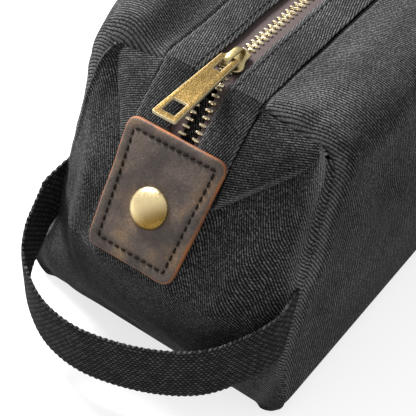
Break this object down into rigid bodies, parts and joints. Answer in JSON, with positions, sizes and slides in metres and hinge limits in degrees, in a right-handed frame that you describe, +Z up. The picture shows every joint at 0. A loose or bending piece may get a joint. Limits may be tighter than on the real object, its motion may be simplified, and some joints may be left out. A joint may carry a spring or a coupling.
{
  "type": "shaving kit bag",
  "caption": "Soft canvas toiletry bag with a brass zip along its top, leather end patches and a webbing end handle.",
  "frame": {"origin": "centre of the base, on the surface that the bag stands on", "axes": "+X along the zip towards the plain end, away from the handle; +Y across the bag; +Z up out of the base"},
  "size_m": [0.2982, 0.1256, 0.1135],
  "materials": {
    "canvas": "washed heavy twill",
    "facing_canvas": "washed heavy twill, worn folded edges",
    "zip_tape": "woven tape",
    "zip_teeth": "antique, polished faces",
    "slider_brass": "polished antique",
    "tab_brass": "grained antique",
    "rivet_brass": "antique, brushed dome",
    "leather": "waxed pull-up leather with raw edges",
    "thread": "waxed thread",
    "webbing": "heavy cotton webbing",
    "lining": "plain weave cotton",
    "binding": "ribbed binding tape"
  },
  "bodies": {
    "bag": {"base_panel": "canvas", "side_panel_right": "canvas", "side_panel_left": "canvas", "near_end_panel": "canvas", "far_end_panel": "canvas", "near_zip_facings": "facing_canvas", "far_zip_facings": "facing_canvas", "near_zip_tapes": "zip_tape", "far_zip_tapes": "zip_tape", "near_zip_teeth": "zip_teeth", "far_zip_teeth": "zip_teeth", "near_patch": "leather", "far_patch": "leather", "near_patch_thread": "thread", "far_patch_thread": "thread", "near_rivet_cap": "rivet_brass", "far_rivet_cap": "rivet_brass", "near_rivet_back": "rivet_brass", "far_rivet_back": "rivet_brass", "lining_base": "lining", "lining_right": "lining", "lining_left": "lining", "lining_near": "lining", "lining_far": "lining", "inner_pocket": "lining", "pocket_binding": "canvas", "near_corner_bindings": "binding", "far_corner_bindings": "binding"},
    "flap_right": {"top_panel_right": "canvas", "facing_right": "facing_canvas", "zip_tape_right": "zip_tape", "zip_teeth_right": "zip_teeth", "lining_top_right": "lining"},
    "flap_left": {"top_panel_left": "canvas", "facing_left": "facing_canvas", "zip_tape_left": "zip_tape", "zip_teeth_left": "zip_teeth", "lining_top_left": "lining"},
    "slider": {"slider_body": "slider_brass"},
    "pull": {"pull_tab": "tab_brass"},
    "handle": {"handle_webbing": "webbing", "handle_sewn_ends": "webbing"}
  },
  "joints": [
    {"name": "zip_slide", "type": "slide", "parent": "bag", "child": "slider", "axis": [1, 0, 0], "range_m": [-0.008, 0.155]},
    {"name": "pull_tab_swing", "type": "hinge", "parent": "slider", "child": "pull", "pos_m": [-0.0806, 0, 0.11185], "axis": [0, 1, 0], "range_deg": [-12, 160]},
    {"name": "flap_right_fold", "type": "hinge", "parent": "bag", "child": "flap_right", "pos_m": [0, -0.0499, 0.1019], "axis": [1, 0, 0], "range_deg": [-3, 50.5], "deforming": ["zip_tape_right", "zip_teeth_right"]},
    {"name": "flap_left_fold", "type": "hinge", "parent": "bag", "child": "flap_left", "pos_m": [0, 0.0499, 0.1019], "axis": [-1, 0, 0], "range_deg": [-3, 50.5], "deforming": ["zip_tape_left", "zip_teeth_left"]},
    {"name": "handle_swing", "type": "hinge", "parent": "bag", "child": "handle", "pos_m": [-0.11943, 0, 0.05], "axis": [0, 1, 0], "range_deg": [0, 75], "deforming": ["handle_sewn_ends"]}
  ],
  "couplings": [
    {"joint": "flap_right_fold", "follows": "zip_slide", "rad_per_m": 5.63},
    {"joint": "flap_left_fold", "follows": "zip_slide", "rad_per_m": 5.63}
  ]
}
